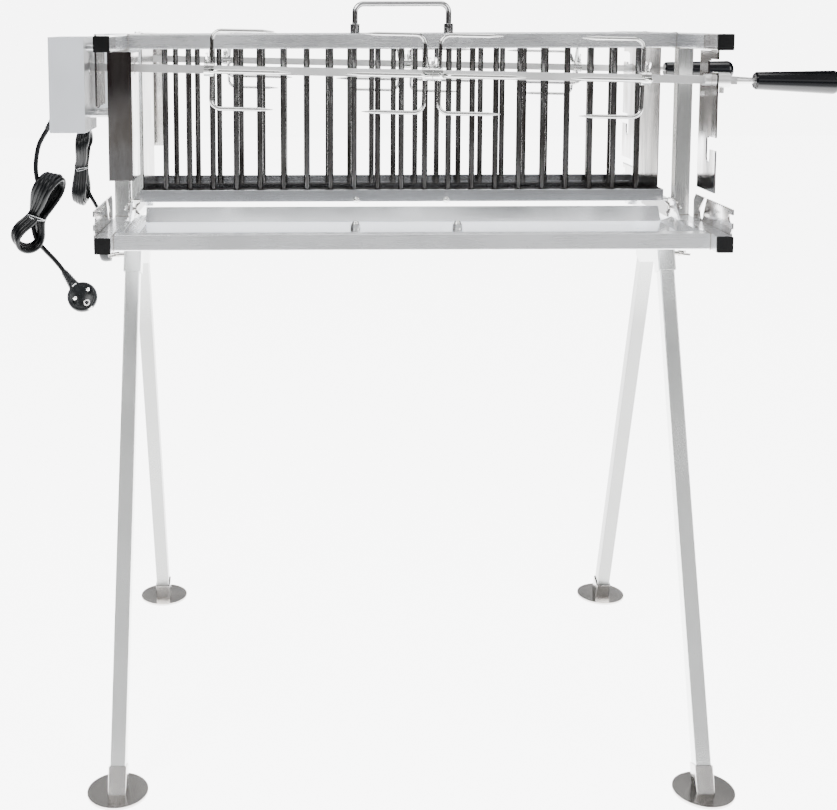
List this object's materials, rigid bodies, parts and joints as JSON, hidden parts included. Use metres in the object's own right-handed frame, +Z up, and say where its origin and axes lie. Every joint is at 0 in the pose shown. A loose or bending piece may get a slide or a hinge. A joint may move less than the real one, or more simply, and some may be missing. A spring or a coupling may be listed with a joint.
{
  "type": "rotisserie spit roaster",
  "caption": "Folding charcoal rotisserie: upright grate between motor driven spits with meat forks, drip trays and splayed legs.",
  "frame": {"origin": "on the floor, under the middle of the whole roaster without its cords", "axes": "+X along the spits towards their handles, +Y to the rear, +Z up"},
  "size_m": [1.0397, 0.637, 0.9987],
  "materials": {
    "tube_steel": "satin",
    "sheet_steel": "satin",
    "polished_steel": "polished",
    "bright_rod": "polished",
    "bright_hardware": "polished",
    "zinc_steel": "satin",
    "gear_steel": "satin",
    "cap_plastic": "matte",
    "handle_plastic": "gloss",
    "cord": "satin",
    "plug_rubber": "satin"
  },
  "bodies": {
    "frame": {"side_tubes": "tube_steel", "corner_posts": "tube_steel", "top_rails": "tube_steel", "front_grate_bars": "bright_rod", "rear_grate_bars": "bright_rod", "ash_trough": "sheet_steel", "grate_end_plates": "polished_steel", "carry_handle": "bright_rod", "legs": "tube_steel", "leg_feet": "bright_hardware", "leg_sockets": "tube_steel", "tray_hinge_brackets": "bright_hardware", "tray_wing_bolts": "bright_hardware"},
    "front_left_leg_bolt": {"front_left_leg_bolt": "bright_hardware"},
    "front_right_leg_bolt": {"front_right_leg_bolt": "bright_hardware"},
    "front_tray": {"front_tray_frame": "tube_steel", "front_tray_pan": "sheet_steel", "front_tray_combs": "polished_steel", "front_tray_caps": "cap_plastic"},
    "front_drive_bracket": {"front_left_bracket": "polished_steel", "front_left_bracket_cap": "cap_plastic", "front_motor_cover": "sheet_steel", "front_motor_unit": "zinc_steel", "front_cord_relief": "plug_rubber", "front_cord_lead": "cord", "front_cord_hank": "cord", "front_cord_tail": "cord", "front_cord_plug": "plug_rubber"},
    "front_rest_bracket": {"front_right_bracket": "polished_steel", "front_right_bracket_cap": "cap_plastic"},
    "front_spit": {"front_spit_rod": "bright_rod", "front_spit_handle": "handle_plastic"},
    "front_drive_gear": {"front_drive_gear": "gear_steel"},
    "front_motor_pinion": {"front_motor_pinion": "gear_steel"},
    "rear_left_leg_bolt": {"rear_left_leg_bolt": "bright_hardware"},
    "rear_right_leg_bolt": {"rear_right_leg_bolt": "bright_hardware"},
    "rear_tray": {"rear_tray_frame": "tube_steel", "rear_tray_pan": "sheet_steel", "rear_tray_combs": "polished_steel", "rear_tray_caps": "cap_plastic"},
    "rear_drive_bracket": {"rear_left_bracket": "polished_steel", "rear_left_bracket_cap": "cap_plastic", "rear_motor_cover": "sheet_steel", "rear_motor_unit": "zinc_steel", "rear_cord_relief": "plug_rubber", "rear_cord_lead": "cord", "rear_cord_hank": "cord", "rear_cord_tail": "cord", "rear_cord_plug": "plug_rubber"},
    "rear_rest_bracket": {"rear_right_bracket": "polished_steel", "rear_right_bracket_cap": "cap_plastic"},
    "rear_spit": {"rear_spit_rod": "bright_rod", "rear_spit_handle": "handle_plastic", "rear_forks": "bright_rod"},
    "rear_drive_gear": {"rear_drive_gear": "gear_steel"},
    "rear_motor_pinion": {"rear_motor_pinion": "gear_steel"},
    "first_fork": {"first_fork": "bright_rod"},
    "second_fork": {"second_fork": "bright_rod"},
    "third_fork": {"third_fork": "bright_rod"},
    "fourth_fork": {"fourth_fork": "bright_rod"}
  },
  "joints": [
    {"name": "front_left_leg_bolt_turn", "type": "hinge", "parent": "frame", "child": "front_left_leg_bolt", "pos_m": [-0.428, -0.04273, 0.648], "axis": [-1, 0, 0], "range_deg": [0, 360]},
    {"name": "front_right_leg_bolt_turn", "type": "hinge", "parent": "frame", "child": "front_right_leg_bolt", "pos_m": [0.334, -0.04273, 0.648], "axis": [1, 0, 0], "range_deg": [0, 360]},
    {"name": "front_tray_fold", "type": "hinge", "parent": "frame", "child": "front_tray", "pos_m": [-0.047, -0.106, 0.722], "axis": [-1, 0, 0], "range_deg": [0, 14]},
    {"name": "front_drive_bracket_slide", "type": "slide", "parent": "frame", "child": "front_drive_bracket", "axis": [0, -1, 0], "range_m": [0, 0.06]},
    {"name": "front_rest_bracket_slide", "type": "slide", "parent": "frame", "child": "front_rest_bracket", "axis": [0, -1, 0], "range_m": [0, 0.06]},
    {"name": "front_spit_turn", "type": "hinge", "parent": "front_drive_bracket", "child": "front_spit", "pos_m": [-0.047, -0.2, 0.906], "axis": [0.9997, 0, -0.0238], "continuous": true},
    {"name": "front_drive_gear_turn", "type": "hinge", "parent": "front_drive_bracket", "child": "front_drive_gear", "pos_m": [-0.458, -0.2, 0.91579], "axis": [1, 0, 0], "continuous": true},
    {"name": "front_motor_pinion_turn", "type": "hinge", "parent": "front_drive_bracket", "child": "front_motor_pinion", "pos_m": [-0.458, -0.2, 0.87579], "axis": [1, 0, 0], "continuous": true},
    {"name": "rear_left_leg_bolt_turn", "type": "hinge", "parent": "frame", "child": "rear_left_leg_bolt", "pos_m": [-0.428, 0.04273, 0.648], "axis": [-1, 0, 0], "range_deg": [0, 360]},
    {"name": "rear_right_leg_bolt_turn", "type": "hinge", "parent": "frame", "child": "rear_right_leg_bolt", "pos_m": [0.334, 0.04273, 0.648], "axis": [1, 0, 0], "range_deg": [0, 360]},
    {"name": "rear_tray_fold", "type": "hinge", "parent": "frame", "child": "rear_tray", "pos_m": [-0.047, 0.106, 0.722], "axis": [1, 0, 0], "range_deg": [0, 14]},
    {"name": "rear_drive_bracket_slide", "type": "slide", "parent": "frame", "child": "rear_drive_bracket", "axis": [0, 1, 0], "range_m": [0, 0.06]},
    {"name": "rear_rest_bracket_slide", "type": "slide", "parent": "frame", "child": "rear_rest_bracket", "axis": [0, 1, 0], "range_m": [0, 0.06]},
    {"name": "rear_spit_turn", "type": "hinge", "parent": "rear_drive_bracket", "child": "rear_spit", "pos_m": [-0.047, 0.2, 0.906], "axis": [0.9997, 0, -0.0238], "continuous": true},
    {"name": "rear_drive_gear_turn", "type": "hinge", "parent": "rear_drive_bracket", "child": "rear_drive_gear", "pos_m": [-0.458, 0.2, 0.91579], "axis": [1, 0, 0], "continuous": true},
    {"name": "rear_motor_pinion_turn", "type": "hinge", "parent": "rear_drive_bracket", "child": "rear_motor_pinion", "pos_m": [-0.458, 0.2, 0.87579], "axis": [1, 0, 0], "continuous": true},
    {"name": "first_fork_slide", "type": "slide", "parent": "front_spit", "child": "first_fork", "axis": [0.9997, 0, -0.0238], "range_m": [-0.06, 0.035]},
    {"name": "second_fork_slide", "type": "slide", "parent": "front_spit", "child": "second_fork", "axis": [0.9997, 0, -0.0238], "range_m": [-0.04, 0]},
    {"name": "third_fork_slide", "type": "slide", "parent": "front_spit", "child": "third_fork", "axis": [0.9997, 0, -0.0238], "range_m": [0, 0.04]},
    {"name": "fourth_fork_slide", "type": "slide", "parent": "front_spit", "child": "fourth_fork", "axis": [0.9997, 0, -0.0238], "range_m": [-0.045, 0.06]}
  ],
  "couplings": [
    {"joint": "front_rest_bracket_slide", "follows": "front_drive_bracket_slide", "ratio": 1},
    {"joint": "front_drive_gear_turn", "follows": "front_spit_turn", "ratio": 1},
    {"joint": "front_motor_pinion_turn", "follows": "front_spit_turn", "ratio": -3.5714},
    {"joint": "rear_rest_bracket_slide", "follows": "rear_drive_bracket_slide", "ratio": 1},
    {"joint": "rear_drive_gear_turn", "follows": "rear_spit_turn", "ratio": 1},
    {"joint": "rear_motor_pinion_turn", "follows": "rear_spit_turn", "ratio": -3.5714}
  ]
}
